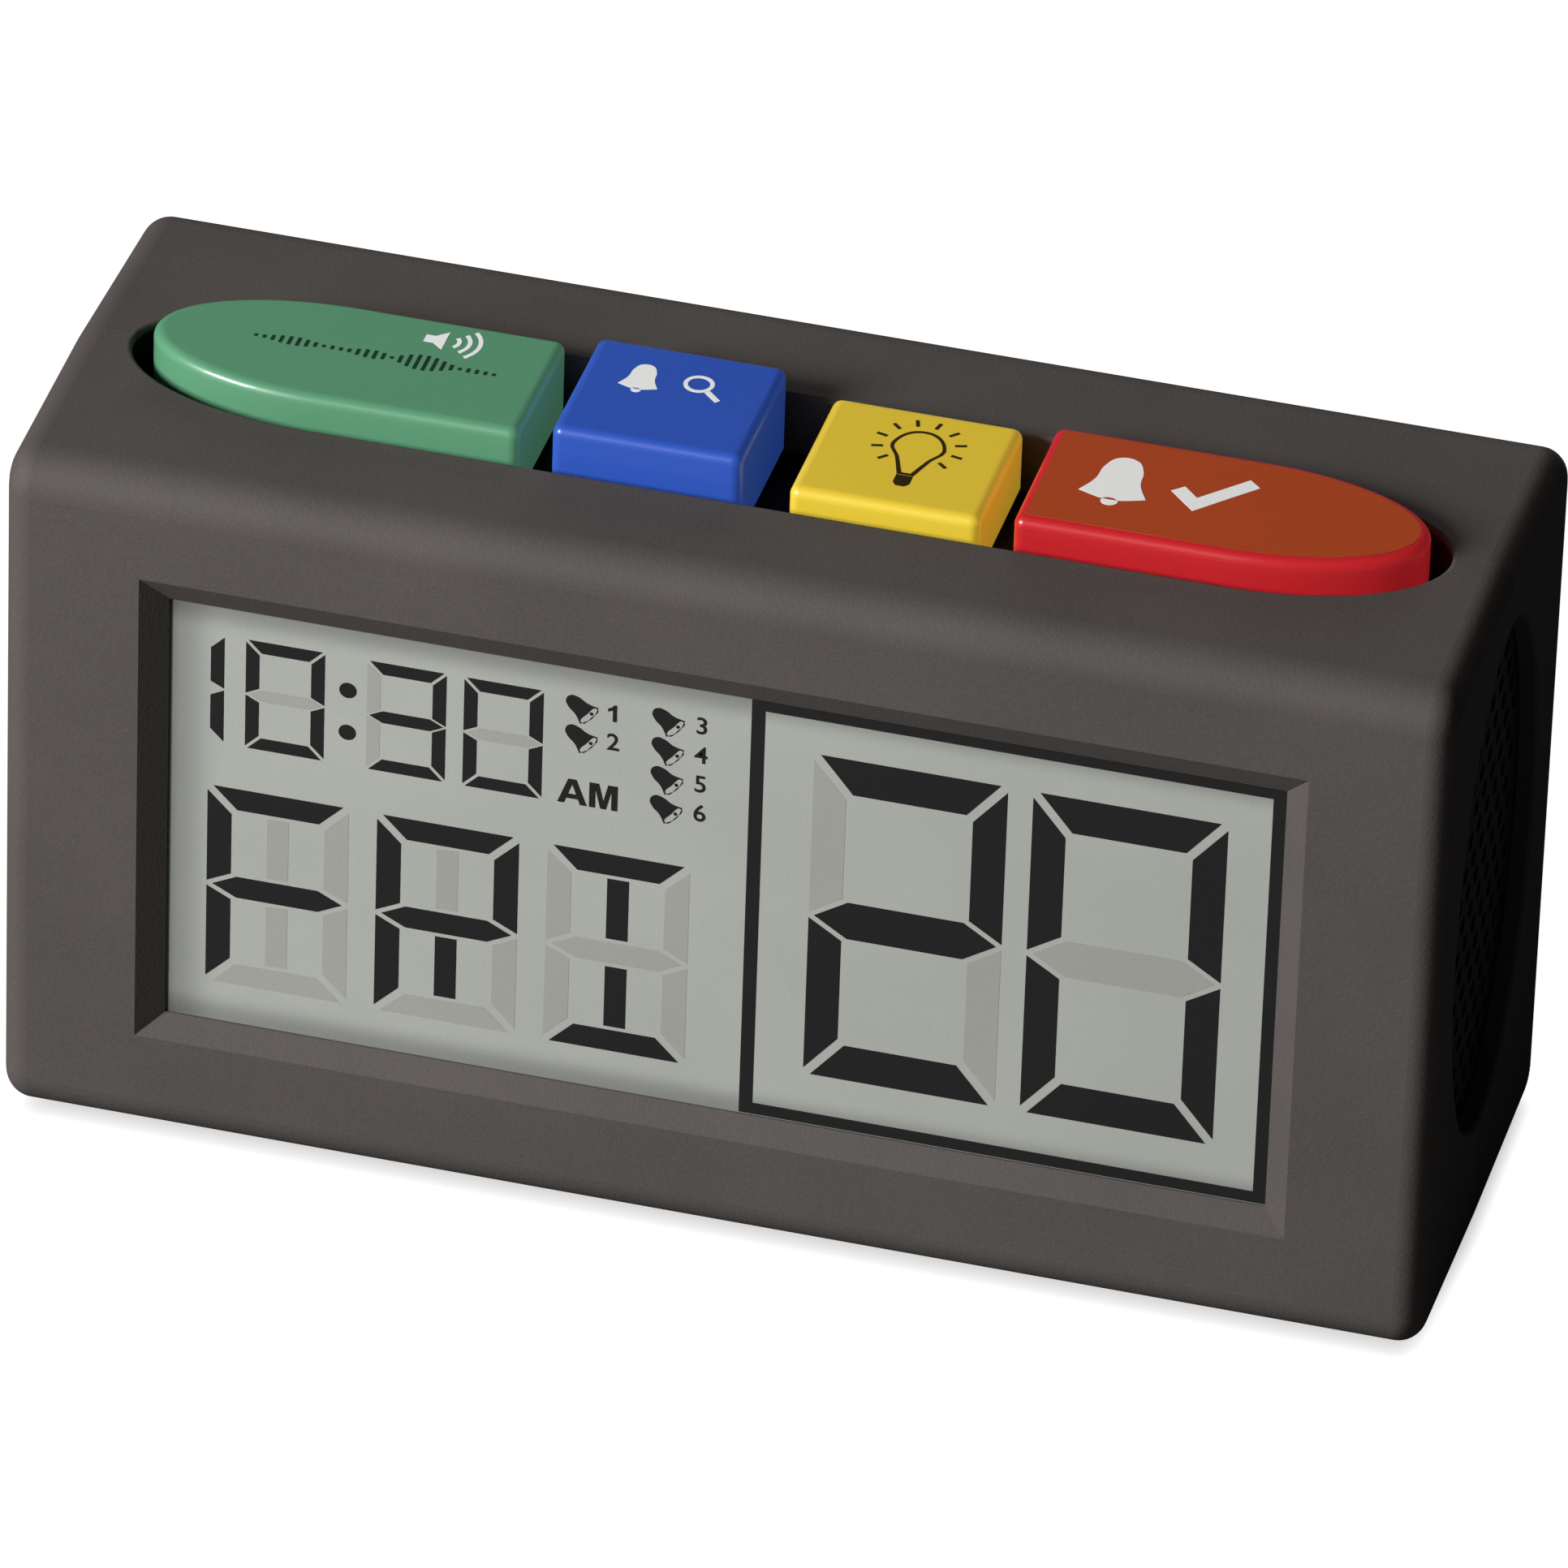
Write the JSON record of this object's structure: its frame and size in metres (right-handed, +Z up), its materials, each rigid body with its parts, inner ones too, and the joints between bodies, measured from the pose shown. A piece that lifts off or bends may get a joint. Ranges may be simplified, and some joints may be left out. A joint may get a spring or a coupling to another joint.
{
  "type": "talking clock",
  "caption": "Table-top talking clock: clamshell case, large bevelled liquid crystal display, raised coloured keys in a slot on top, end grilles, speaker and a rear battery door.",
  "frame": {"origin": "on the table under the middle of the case", "axes": "+X to the viewer's right along the display, +Y to the rear, +Z up"},
  "size_m": [0.165, 0.058, 0.094],
  "materials": {
    "case_plastic": "fine moulded grain, soft touch",
    "door_plastic": "fine moulded grain",
    "display_glass": "satin grey-green liquid crystal panel",
    "frame_plastic": "moulded",
    "light_guide": "clear moulded",
    "zebra_rubber": "satin",
    "board_green": "coated circuit board",
    "screw_steel": "zinc plated",
    "case_screw_steel": "blackened",
    "chip_black": "moulded epoxy",
    "crystal_can": "bright drawn can",
    "talk_green": "satin moulded",
    "check_blue": "satin moulded",
    "light_yellow": "satin moulded",
    "acknowledge_red": "satin moulded",
    "spring_steel": "bright",
    "tray_black": "moulded",
    "switch_black": "moulded",
    "grille_black": "moulded",
    "gasket_foam": "foam",
    "speaker_steel": "stamped and painted",
    "cone_paper": "pressed paper",
    "magnet_ferrite": "ground ferrite",
    "panel_black": "fine moulded grain",
    "set_key_grey": "satin",
    "mat_rubber": "satin",
    "slider_grey": "moulded",
    "cell_wrap": "printed wrap over steel cans",
    "plate_nickel": "nickel plated",
    "foot_rubber": "moulded",
    "lead_sleeve": "insulated stranded wire"
  },
  "bodies": {
    "case": {"front_housing": "case_plastic", "rear_housing": "case_plastic", "lcd_panel": "display_glass", "lcd_frame": "frame_plastic", "backlight_panel": "light_guide", "contact_strips": "zebra_rubber", "main_board": "board_green", "key_board": "board_green", "rear_key_board": "board_green", "board_screws": "screw_steel", "key_board_screws": "screw_steel", "panel_screws": "screw_steel", "case_screws": "case_screw_steel", "voice_chip": "chip_black", "clock_chip": "chip_black", "quartz_crystal": "crystal_can", "talk_spring": "spring_steel", "alarm_check_spring": "spring_steel", "light_spring": "spring_steel", "acknowledge_spring": "spring_steel", "battery_springs": "spring_steel", "key_tray": "tray_black", "tact_switches": "switch_black", "volume_switch": "switch_black", "left_grille": "grille_black", "speaker_grille": "grille_black", "speaker_gasket": "gasket_foam", "speaker_frame": "speaker_steel", "speaker_cone": "cone_paper", "speaker_magnet": "magnet_ferrite", "control_panel": "panel_black", "key_mat": "mat_rubber", "batteries": "cell_wrap", "contact_plates": "plate_nickel", "rubber_feet": "foot_rubber", "speaker_leads": "lead_sleeve", "battery_leads": "lead_sleeve"},
    "talk_key_body": {"talk_key": "talk_green"},
    "alarm_check_key_body": {"alarm_check_key": "check_blue"},
    "light_key_body": {"light_key": "light_yellow"},
    "acknowledge_key_body": {"acknowledge_key": "acknowledge_red"},
    "set_time_key_body": {"set_time_key": "set_key_grey"},
    "minus_key_body": {"minus_key": "set_key_grey"},
    "plus_key_body": {"plus_key": "set_key_grey"},
    "set_alarm_key_body": {"set_alarm_key": "set_key_grey"},
    "alarm_on_key_body": {"alarm_on_key": "set_key_grey"},
    "hour_format_key_body": {"hour_format_key": "set_key_grey"},
    "volume_slider_body": {"volume_slider": "slider_grey"},
    "battery_door_body": {"battery_door": "door_plastic"}
  },
  "joints": [
    {"name": "talk_press", "type": "slide", "parent": "case", "child": "talk_key_body", "axis": [0, 0, -1], "range_m": [0, 0.0015], "stiffness_N_per_m": 300, "springref_m": -0.0015, "deforming": ["talk_spring"]},
    {"name": "alarm_check_press", "type": "slide", "parent": "case", "child": "alarm_check_key_body", "axis": [0, 0, -1], "range_m": [0, 0.0015], "stiffness_N_per_m": 300, "springref_m": -0.0015, "deforming": ["alarm_check_spring"]},
    {"name": "light_press", "type": "slide", "parent": "case", "child": "light_key_body", "axis": [0, 0, -1], "range_m": [0, 0.0015], "stiffness_N_per_m": 300, "springref_m": -0.0015, "deforming": ["light_spring"]},
    {"name": "acknowledge_press", "type": "slide", "parent": "case", "child": "acknowledge_key_body", "axis": [0, 0, -1], "range_m": [0, 0.0015], "stiffness_N_per_m": 300, "springref_m": -0.0015, "deforming": ["acknowledge_spring"]},
    {"name": "set_time_press", "type": "slide", "parent": "case", "child": "set_time_key_body", "axis": [0, -1, 0], "range_m": [0, 0.0008], "stiffness_N_per_m": 400, "springref_m": -0.0005},
    {"name": "minus_press", "type": "slide", "parent": "case", "child": "minus_key_body", "axis": [0, -1, 0], "range_m": [0, 0.0008], "stiffness_N_per_m": 400, "springref_m": -0.0005},
    {"name": "plus_press", "type": "slide", "parent": "case", "child": "plus_key_body", "axis": [0, -1, 0], "range_m": [0, 0.0008], "stiffness_N_per_m": 400, "springref_m": -0.0005},
    {"name": "set_alarm_press", "type": "slide", "parent": "case", "child": "set_alarm_key_body", "axis": [0, -1, 0], "range_m": [0, 0.0008], "stiffness_N_per_m": 400, "springref_m": -0.0005},
    {"name": "alarm_on_press", "type": "slide", "parent": "case", "child": "alarm_on_key_body", "axis": [0, -1, 0], "range_m": [0, 0.0008], "stiffness_N_per_m": 400, "springref_m": -0.0005},
    {"name": "hour_format_press", "type": "slide", "parent": "case", "child": "hour_format_key_body", "axis": [0, -1, 0], "range_m": [0, 0.0008], "stiffness_N_per_m": 400, "springref_m": -0.0005},
    {"name": "volume_slide", "type": "slide", "parent": "case", "child": "volume_slider_body", "axis": [1, 0, 0], "range_m": [0, 0.004]},
    {"name": "battery_door_hinge", "type": "hinge", "parent": "case", "child": "battery_door_body", "pos_m": [-0.03406, 0.029, 0.01922], "axis": [-1, 0, 0], "range_deg": [0, 70]}
  ]
}
